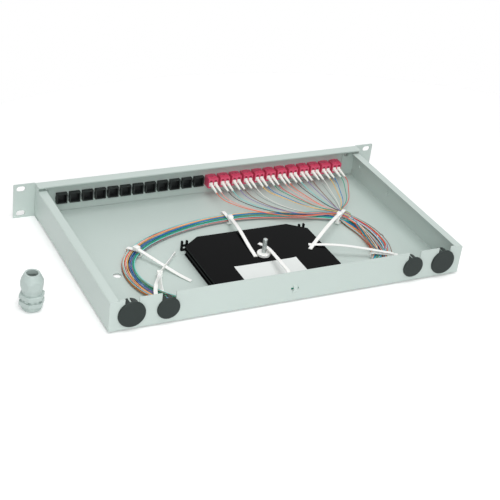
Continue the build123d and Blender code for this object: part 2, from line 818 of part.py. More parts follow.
def fibre_ring():
    """Outer shape of the loose bundle, with the neck where the fan of fibres runs into it."""
    outside = smooth_outline(bundle_edge(-1), lift(bundle_bottom), lift(bundle_top))
    inside = smooth_outline(bundle_edge(1), lift(bundle_bottom) - 1, lift(bundle_top) + 1)
    place, way, _ = bundle_at(neck_place)
    start = place - way * neck_lead
    middle_height = lift((bundle_bottom + neck_top) / 2)
    neck = Pos(neck_length / 2, 0, middle_height) * Box(neck_length, neck_width, neck_top - bundle_bottom)
    far_top = neck.edges().filter_by(Axis.Y).group_by(Axis.X)[-1].group_by(Axis.Z)[-1]
    neck = chamfer(far_top, neck_height)
    neck = Pos(start.X, start.Y, 0) * Rot(0, 0, heading_of(way)) * neck
    return solid_of(outside - inside + neck)


def heading_of(way):
    """Heading in degrees of a way in plan, anticlockwise from X."""
    return degrees(atan2(way.Y, way.X))


def neck_end(index):
    """Where one fibre meets the neck: pairs stand in columns, the two of a pair over each other."""
    place, way, _ = bundle_at(neck_place)
    columns = len(twin_xs) // 2
    across = neck_pitch * ((columns - 1) / 2 - index // 2)
    height = bundle_top + neck_height / 2 + neck_row * (0.5 - index % 2)
    level = Vector(0, 0, lift(height))
    return place - way * neck_lead + inward(way) * across + level


def fan_route(index):
    """Corner points of one fibre from its boot to the neck.

    It leaves along the boot, then takes shares of the way across, along the tray and down, so that
    a fibre from far off falls to the bundle first and runs in along its top.
    """
    start = Vector(twin_xs[index], boot_end_y, boot_end_z)
    end = neck_end(index)
    gap = end - start
    leave = start + boot_way * (fan_lead + fan_lead_share * gap.length)
    shares = fan_long_shares if gap.length > fan_long_span else fan_short_shares
    points = [start, leave]
    points += [start + Vector(gap.X * across, gap.Y * along, gap.Z * down) for across, along, down in shares]
    arrive = end - bundle_at(neck_place)[1] * (fan_end_share * gap.length)
    return [tuple(point) for point in points + [arrive, end]]


def fan_tube(index):
    """One fibre of the fan: straight runs joined by tangent arcs."""
    points = fan_route(index)
    path = FilletPolyline(*points, radius=arc_radii(points))
    start = Plane(path @ 0, z_dir=path % 0)
    tube = solid_of(sweep(start * Circle(fibre / 2), path=path))
    share = tube.volume / (pi * fibre**2 / 4 * path.length)
    if abs(share - 1) > 0.01:
        print("fan fibre", index, "volume is off by", share)
    return tube


def tie_loop(width, top):
    """Closed strap round the bundle, drawn with the bundle along X. top is the bundle's own."""
    inner_height = top - bundle_bottom + 2 * tie_clearance
    inner_width = width + 2 * tie_clearance
    outer = RectangleRounded(inner_width + 2 * tie_sheet, inner_height + 2 * tie_sheet, tie_sheet + tie_round)
    strap = outer - RectangleRounded(inner_width, inner_height, tie_round)
    middle = lift((top + bundle_bottom) / 2)
    return Pos(0, 0, middle) * extrude(Plane.YZ * strap, amount=tie_width / 2, both=True)


def tie_head():
    """Locking head, drawn with its foot at height 0 and its tail leaving along X."""
    head = Pos(0, 0, tie_head_height / 2) * Box(tie_head_length, tie_head_width, tie_head_height)
    return chamfer(head.edges().filter_by(Axis.Y), tie_head_chamfer)


def tie_tail(line):
    """Flat uncut tail. line holds its centre as distances along X and heights in the part's frame."""
    strip = trace(Polyline(*line), line_width=tie_sheet)
    return extrude(Plane.XZ * strip, amount=tie_width / 2, both=True)


def cable_tie(tie, top, rest):
    """One tie: a loop round the bundle, a head on top of it and a tail that comes down to rest."""
    place, width_share, shift_share, tail_heading, length, rises = tie
    middle, way, _ = bundle_at(place)
    loop = Pos(middle.X, middle.Y, 0) * Rot(0, 0, heading_of(way)) * tie_loop(width_share * bundle_width, top)
    strap_top = lift(top) + tie_clearance + tie_sheet
    head_at = middle + inward(way) * (shift_share * bundle_width)
    level = strap_top + tie_head_height / 2
    low = rest + tie_rest + tie_sheet / 2
    line = [(tie_head_length / 4, level)] + [(length * share, low + rise) for share, rise in rises]
    head = Pos(0, 0, strap_top) * tie_head() + tie_tail(line)
    return solid_of(loop + Pos(head_at.X, head_at.Y, 0) * Rot(0, 0, tail_heading) * head)


def slack_tie():
    """Tie closed in a long slack loop over and under the bundle, its head lying inside the ring."""
    middle, way, width = bundle_at(slack_tie_place)
    heading = radians(slack_tie_heading)
    aim = Vector(cos(heading), sin(heading), 0)
    crossing = abs(aim.X * way.Y - aim.Y * way.X)
    length = slack_tie_reach + width / 2 / crossing + slack_tie_margin
    low = lift(bundle_bottom) - slack_tie_under
    high = lift(bundle_top) + slack_tie_over
    head_mid = low + slack_tie_round + 1
    clear = slack_tie_reach - width / crossing
    wire = Polyline(
        (0, head_mid - 1),
        (clear / 2, low),
        (length - slack_tie_round, low),
        (length, low + slack_tie_round),
        (length, high - slack_tie_round),
        (length - slack_tie_round, high),
        (clear, high),
        (0, head_mid + 1),
        close=True,
    )
    loop = make_face(wire)
    band = offset(loop, amount=tie_sheet, kind=Kind.ARC) - loop
    strap = extrude(Plane.XZ * band, amount=tie_width / 2, both=True)
    head = Pos(-tie_head_height / 2, 0, head_mid) * Box(tie_head_height, tie_head_width, tie_head_length)
    tail_low = floor_top + tie_rest + tie_sheet / 2
    line = [
        (0, head_mid + tie_head_length / 2 - tie_sheet),
        (slack_tie_tail / 3, head_mid),
        (slack_tie_tail, tail_low),
    ]
    tail = Rot(0, 0, slack_tie_turn) * tie_tail(line)
    start = middle - aim * slack_tie_reach
    return solid_of(Pos(start.X, start.Y, 0) * Rot(0, 0, slack_tie_heading) * (strap + head + tail))


os.makedirs("parts", exist_ok=True)

save("front_panel", front_panel())
save("tray_body", tray_body())
save("tab_screws", tab_screws())
save("large_plug_left", hole_plug(large_hole, large_hole_x))
save("large_plug_right", hole_plug(large_hole, -large_hole_x))
save("small_plug_left", hole_plug(small_hole, small_hole_x))
save("small_plug_right", hole_plug(small_hole, -small_hole_x))
for number, place in enumerate(adapter_xs, 1):
    save(f"adapter_{number:02d}", adapter(place))
    save(f"dust_cap_{number:02d}", dust_cap(place))
for number, place in enumerate(blank_xs, 1):
    save(f"blanking_plug_{number:02d}", blanking_plug(place))
save("pigtail_connectors", [pigtail_connector(x) for x in twin_xs])
save("cassette_lower", cassette_tray(lower_z, lower_height, upper_z, True))
save("cassette_upper", cassette_tray(upper_z, upper_height, lid_z + horn_rise, False))
save("cassette_lid", cassette_lid())
tray_floors = (lower_z + cassette_wall, upper_z + cassette_wall)
save("splice_holders", [splice_holder(floor) for floor in tray_floors])
save("splice_sleeves", [sleeve for floor in tray_floors for sleeve in splice_sleeves(floor)])
save("cassette_stud", cassette_stud())
save("stud_nut", stud_nut())
save("gland_body", gland_body())
save("gland_lock_nut", gland_lock_nut())
save("gland_dome_nut", gland_dome_nut())
save("gland_seal", gland_seal())
save("fibre_ring", fibre_ring())
save("fibre_fan", [fan_tube(index) for index in range(len(twin_xs))])
save("bundle_ties", [cable_tie(left_tie, bundle_top, floor_top), slack_tie()])
save("lid_ties", [
    cable_tie(front_tie, bundle_top, lid_top),
    cable_tie(neck_tie, neck_top, lid_top),
    cable_tie(right_tie, bundle_top, lid_top),
    cable_tie(rear_tie, bundle_top, lid_top),
])
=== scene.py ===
"""Looks of the fibre optic patch panel: camera, light, cords, finishes and the fine pieces over the CAD frame.

Lengths in the tables are millimetres in the part's own frame, and mm() turns them into metres.
"""
import math

import bpy
import numpy as np
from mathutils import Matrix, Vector


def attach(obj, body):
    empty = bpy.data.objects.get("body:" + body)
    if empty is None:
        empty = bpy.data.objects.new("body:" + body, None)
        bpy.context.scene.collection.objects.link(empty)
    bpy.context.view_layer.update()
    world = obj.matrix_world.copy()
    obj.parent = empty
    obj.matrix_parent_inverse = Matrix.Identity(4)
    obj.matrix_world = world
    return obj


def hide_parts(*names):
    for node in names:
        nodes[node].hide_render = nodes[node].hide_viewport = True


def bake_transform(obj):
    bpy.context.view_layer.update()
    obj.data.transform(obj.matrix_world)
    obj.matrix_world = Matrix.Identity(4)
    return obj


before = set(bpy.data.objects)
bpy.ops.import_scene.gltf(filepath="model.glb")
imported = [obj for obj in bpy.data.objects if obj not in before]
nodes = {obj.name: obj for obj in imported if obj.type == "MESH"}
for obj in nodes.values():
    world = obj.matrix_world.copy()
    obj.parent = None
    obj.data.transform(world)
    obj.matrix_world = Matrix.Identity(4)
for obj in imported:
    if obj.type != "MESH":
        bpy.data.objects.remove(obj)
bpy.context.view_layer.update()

# Sizes repeated from the part's source, in millimetres. Heights named BOTTOM and TOP, and those of the
# cassette and the ties, count from the underside of the tray floor
TRAY_BASE = -20.3
GROUND = -21.8
FIBRE = 0.9
PORT_PITCH = 16.0
TWIN_HALF = 3.15
TWIN_XS = [sign * TWIN_HALF - PORT_PITCH / 2 - PORT_PITCH * place for place in range(12) for sign in (1, -1)]
BORE_Z = -2.4
ADAPTER_REAR = 12.0
ADAPTER_TOP = 5.6
# A plug's front end, rear end and size across
CONNECTOR = (3.5, 12.3, 4.7)
# A boot's length, its drop over that length, and its diameters at the root and the tip
BOOT = (17.2, 2.2, 4.3, 2.2)
CASSETTE_MIDDLE = (1.2, 172.75)
CASSETTE_HALF = (79.0, 56.25)
LID_TOP = 13.4
# The stud's place, diameter, and the heights between which its thread is bare
STUD = (1.2, 172.75, 5.0, 16.7, 33.4)
# The gland's place and the diameter of its body under the thread
GLAND = (275.4, 182.8, 20.0)
BUNDLE_WIDTH = 14.0
BUNDLE_BOTTOM = 3.1
BUNDLE_TOP = 7.6
# The neck, where the fan meets the bundle: its station place, how far before it the fibres end, and its height
NECK_PLACE = 20.5
NECK_LEAD = 3.5
NECK_HEIGHT = 3.0
TIE_WIDTH = 4.5
TIE_SHEET = 1.2
TIE_CLEARANCE = 0.3
TIE_HEAD = (7.0, 6.6, 4.6)

# The scene's own neck, narrower than the part's as the photograph shows: the spacing of its 12 columns and
# 2 rows, and its shift along the bundle's way and inwards
NECK_PITCH = 1.09
NECK_ROW = 1.15
NECK_SHIFT = (3.0, -6.0)


def mm(value):
    """Millimetres as metres, for a number or an array."""
    return np.asarray(value, float) * 0.001


def lift(height):
    """Height over the underside of the tray floor, as a height in the part's frame, in millimetres."""
    return TRAY_BASE + height


# Camera: the photograph's place, direction and focal length
camera = bpy.data.objects.new("camera", bpy.data.cameras.new("camera"))
bpy.context.scene.collection.objects.link(camera)
camera.location = (0.604392, 1.201068, 0.703708)
camera.rotation_euler = (math.radians(59.107), math.radians(-6.492), math.radians(154.236))
camera.data.sensor_width = 36.0
camera.data.lens = 87.97
bpy.context.scene.camera = camera


# Fibre cords
# Stations of the bundle's middle line, as in the part's source: shares of the cassette's half width
# and half depth from its centre, and the width as a share of BUNDLE_WIDTH
STATIONS = [
    (-1.860, -1.000, 1.85), (-1.958, -0.600, 2.25), (-1.977, -0.180, 2.35), (-1.930, 0.240, 2.25),
    (-1.730, 0.790, 1.90), (-1.330, 1.110, 1.45), (-0.780, 1.183, 1.14), (-0.390, 1.183, 1.11),
    (0.460, 1.183, 1.11), (1.170, 1.160, 1.25), (1.630, 0.876, 1.45), (1.884, 0.404, 1.36),
    (1.985, -0.191, 1.21), (1.884, -0.767, 1.18), (1.538, -1.219, 1.18), (1.035, -1.570, 1.14),
    (0.330, -1.785, 1.00), (-0.345, -1.785, 1.00), (-0.900, -1.640, 1.04), (-1.344, -1.471, 1.21),
    (-1.670, -1.300, 1.57),
]
# Places of the cable ties along the stations, between which the bundle sinks to the floor
TIE_PLACES = np.array([3.5, 7.5, 10.5, 13.5, 16.5, 20.5])
# Colours of the twelve-fibre code as it stands in the row of boots, from the middle outwards
FIBRE_ORDER = [
    "orange", "pink", "black", "aqua", "violet", "brown", "slate", "white", "yellow", "blue", "green", "red",
    "pink", "orange", "black", "aqua", "violet", "brown", "slate", "white", "yellow", "blue", "green", "red",
]
# Places of the 24 fibres in the narrow bundle: three layers from the top, each from outside to inside
LAYERS = [
    [3, 1, 8, 21, 9, 22, 10, 15],
    [0, 7, 13, 19, 5, 2, 11, 12],
    [17, 20, 6, 4, 14, 23, 16, 18],
]
LAYER_HEIGHTS = [6.6, 5.2, 3.8]
# How far the bundle sinks away from the ties, and over how many stations
SINK = 1.55
SINK_RUN = 0.7
# A fan fibre leaves straight along its boot over FAN_LEAD and a share of its span, and arrives straight at
# the neck over another share
FAN_LEAD = 4.0
FAN_LEAD_SHARE = 0.05
FAN_ARRIVE_SHARE = 0.06
# Shares of a fan fibre's way across, along the tray and down: near the part's, with a deeper bow on the
# ones longer than LONG_SPAN
LONG_SPAN = 110.0
LONG_SHARES = [(0.07, 0.33, 0.52), (0.24, 0.60, 0.80), (0.55, 0.89, 0.95)]
SHORT_SHARES = [(0.20, 0.35, 0.50), (0.52, 0.72, 0.85)]
# The first of the fibres that lie near the inner edge on the right side, counted along the row of boots
INNER_FROM = 18
# How far each fibre has moved from its place in the neck to its place on the right side, at stations 0 to 3
RIGHT_BLEND = (0.35, 0.8, 1.0, 1.0)
# The way into the cassette: x, y and the share of the climb to the fibre's cassette tray
ENTRY = [(-126.0, 206.0, 0.0), (-106.0, 218.5, 0.35), (-88.0, 226.0, 0.75), (-78.0, 229.6, 1.0),
         (-71.6, 227.1, 1.0), (-65.5, 218.8, 1.0)]
ENTRY_ACROSS = np.array([0.805, 0.593, 0.0])
LOWER_TRAY = 4.6
UPPER_TRAY = 10.2


def station_middle(index):
    """The bundle's middle at one station, counted round and round, in plan."""
    share_x, share_y, _ = STATIONS[index % len(STATIONS)]
    x = CASSETTE_MIDDLE[0] + share_x * CASSETTE_HALF[0]
    y = CASSETTE_MIDDLE[1] + share_y * CASSETTE_HALF[1]
    return np.array([x, y, 0.0])


def unit(way):
    """A direction of length one."""
    return way / np.linalg.norm(way)


def inward(way):
    """The side of the bundle's way that faces the ring's middle."""
    return np.array([way[1], -way[0], 0.0])


def bundle_at(place):
    """The bundle's middle and its way in plan at a place counted in stations."""
    index = int(place)
    run = station_middle(index + 1) - station_middle(index)
    return station_middle(index) + run * (place - index), unit(run)


def neck_column(index):
    """Column of one fibre in the neck, from 5.5 at its inner side to -5.5 at its outer side."""
    return 5.5 - index // 2


def neck_end(index):
    """Where one fibre meets the neck of the bundle: the part's place, drawn together and shifted along and out."""
    place, way = bundle_at(NECK_PLACE)
    along, aside = NECK_SHIFT
    across = aside + NECK_PITCH * neck_column(index)
    height = BUNDLE_TOP + NECK_HEIGHT / 2 + NECK_ROW * (0.5 - index % 2)
    return place + way * (along - NECK_LEAD) + inward(way) * across + np.array([0, 0, lift(height)])


def fan_points(index):
    """Control points of one fibre from its boot to the neck, near the part's route."""
    start = np.array([TWIN_XS[index], CONNECTOR[1] + BOOT[0], BORE_Z - BOOT[1]])
    end = neck_end(index)
    gap = end - start
    span = np.linalg.norm(gap)
    leave = start + unit(np.array([0.0, BOOT[0], -BOOT[1]])) * (FAN_LEAD + FAN_LEAD_SHARE * span)
    shares = LONG_SHARES if span > LONG_SPAN else SHORT_SHARES
    between = [start + gap * np.array(share) for share in shares]
    arrive = end - bundle_at(NECK_PLACE)[1] * FAN_ARRIVE_SHARE * span
    return [start, leave] + between + [arrive, end]


def bundle_point(station, share, height):
    """A point of the bundle: share is 0 at its inner edge and 1 at its outer edge, on the station's normal."""
    width = STATIONS[station % len(STATIONS)][2] * BUNDLE_WIDTH
    way = unit(station_middle(station + 1) - station_middle(station - 1))
    spot = station_middle(station) + inward(way) * (0.5 - share) * (width - 1.6 * FIBRE)
    return spot + np.array([0, 0, lift(height)])


def sink(station):
    """How far the bundle sinks towards the floor at a station: SINK less a bell curve round each tie."""
    away = np.min(np.abs(TIE_PLACES - station % len(STATIONS)))
    return SINK * (1 - math.exp(-(away / SINK_RUN) ** 2))


def layer_place(index, station):
    """Share and height of one fibre in the narrow bundle. A layer sways as one, so its fibres never meet."""
    layer = [index in row for row in LAYERS].index(True)
    column = LAYERS[layer].index(index)
    base = 1 - (column + 0.5 + 0.15 * math.sin(2.1 * index)) / len(LAYERS[layer])
    sway = 0.17 * math.sin(0.83 * station + 2.4 * layer) + 0.06 * math.sin(1.9 * station + 1.3 * layer)
    share = base + sway * math.sin(math.pi * base)
    height = LAYER_HEIGHTS[layer] + 0.25 * math.sin(1.1 * station + 0.9 * index) - sink(station)
    return share, height


def right_place(index, station):
    """Share and height of one fibre on its first way down the wide right side, over those that come round again.

    The last six lie together near the inner edge. The others spread over the rest in two rows.
    """
    if index >= INNER_FROM:
        share = 0.05 + 0.055 * (23 - index)
        height = 8.6 - 0.35 * (index % 3)
    else:
        share = 0.36 + 0.028 * index
        height = 7.4 + 0.95 * (index % 2)
    return share + 0.02 * math.sin(station + index), height - 0.6 * sink(station)


def bundle_points(index):
    """Control points of one fibre from the neck once round the bundle, down the right side and into the cassette.

    It goes from its place in the neck to its place on the right side, then round in its layer, then down
    the right side again below the others, and climbs to its cassette tray in six columns and two rows.
    """
    points = [neck_end(index) + bundle_at(NECK_PLACE)[1] * 9 - np.array([0, 0, 0.6])]
    neck_share = 0.73 - 0.25 * neck_column(index) / 5.5
    for station, blend in enumerate(RIGHT_BLEND):
        share, height = right_place(index, station)
        points.append(bundle_point(station, neck_share + (share - neck_share) * blend, height + 1.2 * (1 - blend)))
    for station in range(4, len(STATIONS)):
        points.append(bundle_point(station, *layer_place(index, station)))
    row, column = divmod(sum(LAYERS, []).index(index), len(LAYERS[0]))
    for station in range(len(STATIONS), len(STATIONS) + 4):
        share = 0.10 + 0.08 * column + 0.03 * math.sin(index + 0.7 * station)
        points.append(bundle_point(station, share, 3.7 + 1.1 * (2 - row) - sink(station)))
    level = LOWER_TRAY if index < 12 else UPPER_TRAY
    stack = (index % 12 // 6 - 0.5) * 1.05
    along = ENTRY_ACROSS * ((index % 6 - 2.5) * 1.3)
    for x, y, share in ENTRY:
        height = (2.6 + 1.0 * (2 - row)) * (1 - share) + level * share + stack * share
        spread = along * (0.5 + 0.5 * share)
        points.append(np.array([x, y, lift(height)]) + spread)
    return points


def make_cord(index):
    """One fibre as a smooth NURBS cord from its boot to the cassette.

    The curve cuts its polygon's corners, so its length is given as LENGTH_SHARE of the polygon's. Its half
    thickness stands in the points' radius, and the bevel depth of 1 carries that over unchanged.
    """
    points = fan_points(index) + bundle_points(index)
    curve = bpy.data.curves.new(f"fibre_{index + 1:02d}", "CURVE")
    curve.dimensions = "3D"
    spline = curve.splines.new("NURBS")
    spline.points.add(len(points) - 1)
    for slot, point in zip(spline.points, points):
        slot.co = (*mm(point), 1.0)
        slot.radius = FIBRE * 0.0005
    spline.order_u = 3
    spline.use_endpoint_u = True
    spline.resolution_u = 6
    curve.bevel_depth = 1.0
    curve.bevel_resolution = 3
    made = bpy.data.objects.new(f"fibre_{index + 1:02d}", curve)
    bpy.context.scene.collection.objects.link(made)
    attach(made, "root")
    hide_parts("fibre_fan", "fibre_ring")
    return made


cords = [make_cord(index) for index in range(24)]


# Finishes
def srgb(code):
    """Linear colour with alpha from an sRGB hex code."""
    parts = [int(code[i:i + 2], 16) / 255 for i in (0, 2, 4)]
    return tuple(c / 12.92 if c <= 0.04045 else ((c + 0.055) / 1.055) ** 2.4 for c in parts) + (1.0,)


def add(tree, kind, links=(), **values):
    """Adds a shader node, sets its input sockets by name and links outputs of other nodes to its sockets."""
    node = tree.nodes.new(kind)
    for name, value in values.items():
        node.inputs[name.replace("_", " ")].default_value = value
    for source, output, name in links:
        tree.links.new(source.outputs[output], node.inputs[name])
    return node


def finish(name, code, rough, spread=0.05, grain=0.5, depth=0.01, patch=20.0, tint=0.05, metal=0.0, edge=0.25,
           **extra):
    """A surface with soft edges, a fine grain and slightly uneven colour and gloss.

    grain, depth, patch and edge are the grain's size and depth, the size of the uneven patches and
    the edge rounding, all in millimetres. A mould's or a coat's own grain is finer than a pixel, so
    grains are drawn as coarse as they need to be to show close up.
    """
    made = bpy.data.materials.new(name)
    made.use_nodes = True
    tree = made.node_tree
    shader = tree.nodes["Principled BSDF"]
    place = add(tree, "ShaderNodeTexCoord")
    patches = add(tree, "ShaderNodeTexNoise", [(place, "Object", "Vector")], Scale=1000 / patch, Detail=3.0)
    grains = add(tree, "ShaderNodeTexNoise", [(place, "Object", "Vector")], Scale=1000 / grain, Detail=2.0)
    base = srgb(code)
    colour = add(tree, "ShaderNodeMix", [(patches, 0, "Factor")])
    colour.data_type = "RGBA"
    colour.inputs[6].default_value = tuple(c * (1 - tint) for c in base[:3]) + (1.0,)
    colour.inputs[7].default_value = tuple(min(1.0, c * (1 + tint)) for c in base[:3]) + (1.0,)
    tree.links.new(colour.outputs[2], shader.inputs["Base Color"])
    gloss = add(tree, "ShaderNodeMapRange", [(patches, 0, "Value")], To_Min=rough - spread, To_Max=rough + spread)
    tree.links.new(gloss.outputs["Result"], shader.inputs["Roughness"])
    soft = add(tree, "ShaderNodeBevel", Radius=edge * 0.001)
    soft.samples = 4
    bump = add(tree, "ShaderNodeBump", [(grains, 0, "Height"), (soft, "Normal", "Normal")],
               Distance=depth * 0.001)
    tree.links.new(bump.outputs["Normal"], shader.inputs["Normal"])
    shader.inputs["Metallic"].default_value = metal
    for key, value in extra.items():
        shader.inputs[key.replace("_", " ")].default_value = value
    return made


# Light grey-green powder coat: a fine orange peel breaks up the reflections on the flat sheet
powder_coat = finish("powder_coated_sheet", "C4D1CC", 0.42, grain=0.8, depth=0.012, patch=60, tint=0.02)
# Zinc plate: a cool metal with cloudy gloss
zinc = finish("zinc_plated_steel", "BFC6C4", 0.34, spread=0.1, grain=0.25, depth=0.004, patch=3, metal=1.0,
              edge=0.1)
# Moulded nylon: bright white, half matt, with a slight glow where light enters it
nylon = finish("white_nylon", "FAFBF8", 0.38, grain=0.3, depth=0.003, tint=0.02, edge=0.2,
               Subsurface_Weight=0.15, Subsurface_Radius=(0.002, 0.002, 0.0018), Subsurface_Scale=0.5)
# Glossy black moulding with faint waviness. Its mirror is held low, because the lid stays black in the photograph
black_abs = finish("gloss_black_abs", "08090A", 0.13, spread=0.04, grain=6, depth=0.01, patch=25, tint=0.15,
                   Specular_IOR_Level=0.03)
# Matt black moulding of the blanks
blank_black = finish("black_blank_moulding", "1D2121", 0.45, grain=0.3, depth=0.008)
# Dark grey polyethylene of the plugs: soft sheen that lifts the black to grey
plug_dark = finish("dark_polyethylene", "28312F", 0.42, grain=0.6, depth=0.01, tint=0.08, edge=0.4,
                   Specular_IOR_Level=0.25)
# Magenta moulding of the adapters: saturated and half matt
magenta = finish("magenta_pbt", "EA5478", 0.38, grain=0.3, depth=0.005, tint=0.04, edge=0.3)
# Stops inside the adapters' latch slots: the same moulding, its darker red painted shade of the deep slots
red_painted_shade = finish("red_pbt_painted_shade", "A5143F", 0.45, grain=0.3, depth=0.005, tint=0.04, edge=0.1)
# White moulding of the connectors and their boots
boot_white = finish("white_pbt", "F8FAF4", 0.45, grain=0.3, depth=0.004, tint=0.03)
# Pale grey polyamide of the gland: waxy, with broad soft highlights
polyamide = finish("grey_polyamide", "B7C5C1", 0.40, grain=0.5, depth=0.006, tint=0.03, edge=0.4)
# Seal rubber: dull black
rubber = finish("seal_rubber", "1B1D1D", 0.75, grain=0.3, depth=0.02)
# Shrunk clear tube of the splice sleeves and the clear caps: whitish and partly see-through
clear_tube = finish("clear_polyolefin", "D9DEDC", 0.22, tint=0.03, Transmission_Weight=0.4)
# Bare label: paper white and dull
label_white = finish("label_paper", "E4E8E6", 0.7, grain=0.15, depth=0.003, tint=0.015, edge=0.05)

# Coloured buffer of the fibres: smooth plastic with a soft highlight along each strand
FIBRE_CODES = {
    "orange": "F2673A", "pink": "F8ACA2", "black": "2B302F", "aqua": "84DAD6", "violet": "8F80B4",
    "brown": "866150", "slate": "96A09C", "white": "F0F2EC", "yellow": "F2C058", "blue": "1B80C4",
    "green": "10A584", "red": "E5453E",
}
fibre_finishes = {
    name: finish("fibre_" + name, code, 0.33, grain=0.4, depth=0.002, patch=40, tint=0.06, edge=0.02)
    for name, code in FIBRE_CODES.items()
}
for index, cord in enumerate(cords):
    cord.data.materials.append(fibre_finishes[FIBRE_ORDER[index]])

# Finish of each CAD node, by its name or the first word of it
NODE_FINISHES = {
    "front_panel": powder_coat, "tray_body": powder_coat, "tab_screws": zinc, "cassette_stud": zinc,
    "stud_nut": nylon, "bundle_ties": nylon, "lid_ties": nylon, "pigtail_connectors": boot_white,
    "splice_sleeves": clear_tube, "splice_holders": black_abs, "cassette": black_abs, "gland_seal": rubber,
    "gland": polyamide, "large": plug_dark, "small": plug_dark, "adapter": magenta, "dust": clear_tube,
    "blanking": blank_black, "fibre": fibre_finishes["aqua"],
}
for name, node in nodes.items():
    node.data.materials.clear()
    node.data.materials.append(NODE_FINISHES.get(name) or NODE_FINISHES[name.split("_")[0]])


# Surfaces swept along paths
def oval(count, half_width, half_height, power):
    """A closed section: half_width times cosine and half_height times sine, each to a power that keeps its sign.

    A power of 1 gives an ellipse, and a small one gives a rectangle with round corners. Half sizes and
    power may be columns with one value for each section, which gives a stack of sections.
    """
    turn = np.linspace(0, 2 * np.pi, count, endpoint=False) + np.pi / count

    def bend(wave):
        return np.sign(wave) * np.abs(wave) ** power

    return np.stack([half_width * bend(np.cos(turn)), half_height * bend(np.sin(turn))], axis=-1)


def smooth_path(points, count, closed=False):
    """A path whose corners are cut four times over, at a quarter of each run, then shared out evenly by length."""
    line = np.array(points, float)
    for _ in range(4):
        before = line if closed else line[:-1]
        after = np.roll(line, -1, axis=0) if closed else line[1:]
        cut = np.stack([0.75 * before + 0.25 * after, 0.25 * before + 0.75 * after], axis=1).reshape(-1, 3)
        line = cut if closed else np.vstack([line[:1], cut, line[-1:]])
    if closed:
        line = np.vstack([line, line[:1]])
    along = np.concatenate([[0], np.cumsum(np.linalg.norm(np.diff(line, axis=0), axis=1))])
    even = np.linspace(0, along[-1], count, endpoint=not closed)
    return np.stack([np.interp(even, along, line[:, axis]) for axis in range(3)], axis=1)


def tangents(path, closed):
    """Directions along a path, each from the point before to the point after."""
    if closed:
        run = np.roll(path, -1, axis=0) - np.roll(path, 1, axis=0)
    else:
        run = np.gradient(path, axis=0)
    return run / np.linalg.norm(run, axis=1, keepdims=True)


def sweep(path, section, side=None, closed=False):
    """A grid of points: the section at each point of the path, its first axis on side, its second on tangent x side.

    Without a side, the first axis stays level: it is the up direction x tangent.
    """
    run = tangents(path, closed)
    if side is None:
        across = np.cross(np.array([0.0, 0.0, 1.0]), run)
        across = across / np.linalg.norm(across, axis=1, keepdims=True)
    else:
        across = np.broadcast_to(np.asarray(side, float), path.shape)
    over = np.cross(run, across)
    sections = np.broadcast_to(section, (len(path),) + section.shape[-2:])
    return path[:, None] + sections[..., :1] * across[:, None] + sections[..., 1:] * over[:, None]


def grid_faces(rows, columns, closed):
    """Corner numbers of a grid's quads. Columns close round; rows close too, or end in caps."""
    i = np.arange(rows if closed else rows - 1)[:, None]
    j = np.arange(columns)[None, :]
    k = (j + 1) % columns
    below = (i + 1) % rows
    corners = [i * columns + j, i * columns + k, below * columns + k, below * columns + j]
    return np.stack(corners, axis=2).reshape(-1, 4)


def signed_volume(points, quads):
    """Six times the volume within the quads, negative where they face inwards."""
    a, b, c, d = (points[quads[:, corner]] - points.mean(axis=0) for corner in range(4))
    return np.sum(np.cross(a, b) * c) + np.sum(np.cross(a, c) * d)


# Edges that turn more than this stay sharp
SHARP_FROM = math.radians(50)


def make_piece(name, patches, look, body="root", instead=()):
    """One object from patches of (grid in millimetres, closed along its rows), with faces outwards and ends capped.
    """
    points, faces = [], []
    for grid, closed in patches:
        rows, columns = grid.shape[:2]
        offset = sum(len(part) for part in points)
        flat = grid.reshape(-1, 3)
        quads = grid_faces(rows, columns, closed)
        turned = signed_volume(flat, quads) < 0
        made = (quads[:, ::-1] if turned else quads) + offset
        faces += made.tolist()
        if not closed:
            first = np.arange(columns) + offset
            last = first + (rows - 1) * columns
            faces += [(first if turned else first[::-1]).tolist(), (last[::-1] if turned else last).tolist()]
        points.append(flat)
    mesh = bpy.data.meshes.new(name)
    mesh.from_pydata(mm(np.vstack(points)).tolist(), [], faces)
    mesh.materials.append(look)
    mesh.polygons.foreach_set("use_smooth", [True] * len(faces))
    mesh.set_sharp_from_angle(angle=SHARP_FROM)
    made = bpy.data.objects.new(name, mesh)
    bpy.context.scene.collection.objects.link(made)
    if body:
        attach(made, body)
    if instead:
        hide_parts(*instead)
    return made


def rounded_box(middle, size, heading, rows=14, columns=40):
    """A block with round edges, turned about Z by heading degrees.

    Its sections are rectangles with round corners, and shrink towards both ends by the height's eighth power.
    """
    rise = np.linspace(-1, 1, rows)
    shrink = 1 - np.abs(rise) ** 8 * 0.14
    section = oval(columns, size[0] / 2, size[1] / 2, 0.22)
    turn = math.radians(heading)
    spin = np.array([[math.cos(turn), math.sin(turn)], [-math.sin(turn), math.cos(turn)]])
    flat = (section[None] * shrink[:, None, None]) @ spin
    level = np.broadcast_to((rise * size[2] / 2)[:, None, None], flat.shape[:2] + (1,))
    return np.concatenate([flat, level], axis=2) + np.array(middle)


# Cable ties: loop, head and tail of each, as smooth straps
STRAP = oval(16, TIE_WIDTH / 2, TIE_SHEET / 2, 0.35)


def tie_loop(middle, way, width, top):
    """Strap round the bundle: a rectangle with round corners across the bundle's way, the strap's width along it."""
    reach = width / 2 + TIE_CLEARANCE + TIE_SHEET / 2
    low = BUNDLE_BOTTOM - TIE_CLEARANCE - TIE_SHEET / 2
    high = top + TIE_CLEARANCE + TIE_SHEET / 2
    half_way = (low + high) / 2
    corners = [(-reach, low), (0, low), (reach, low), (reach, half_way), (reach, high), (0, high), (-reach, high),
               (-reach, half_way)]
    side = inward(way)
    points = [middle + side * across + np.array([0, 0, lift(height)]) for across, height in corners]
    return sweep(smooth_path(points, 72, closed=True), STRAP, side=way, closed=True)


